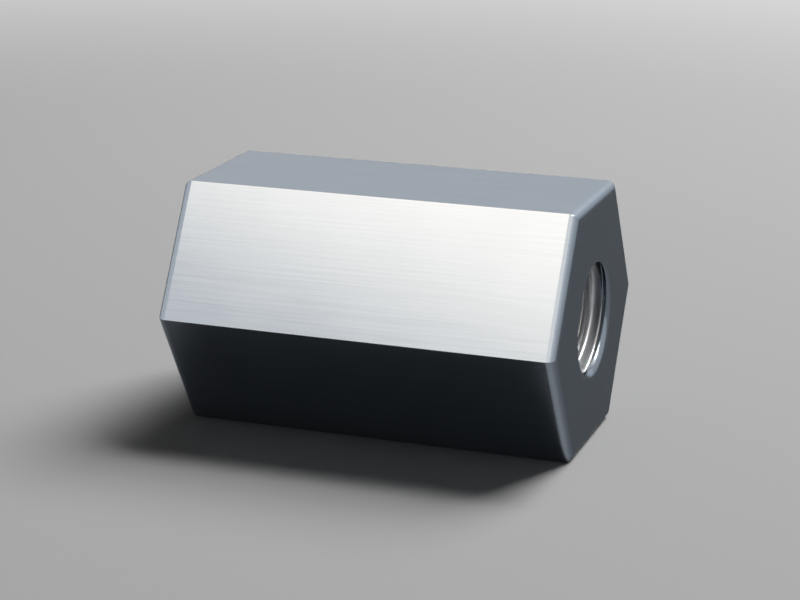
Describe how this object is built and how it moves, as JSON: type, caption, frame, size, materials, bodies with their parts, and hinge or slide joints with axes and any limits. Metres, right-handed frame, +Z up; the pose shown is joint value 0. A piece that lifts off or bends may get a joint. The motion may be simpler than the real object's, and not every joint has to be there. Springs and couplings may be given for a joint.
{
  "type": "coupling nut",
  "caption": "Long hexagon nut with a through-threaded bore that joins two threaded rods end to end, with rounded end edges and rounded bore mouths.",
  "frame": {"origin": "centre of the nut, on the bore's axis and midway between the two end faces", "axes": "+X along the bore, towards the end that the picture shows; +Z up, square to the flat that faces up as the nut lies; the long edges at the front and back point along -Y and +Y"},
  "size_m": [0.0262, 0.0184, 0.016],
  "materials": {
    "steel": "bright, smooth, light blue-grey, as zinc-plated cold-drawn steel"
  },
  "bodies": {
    "root": {"nut_body": "steel"}
  },
  "joints": []
}
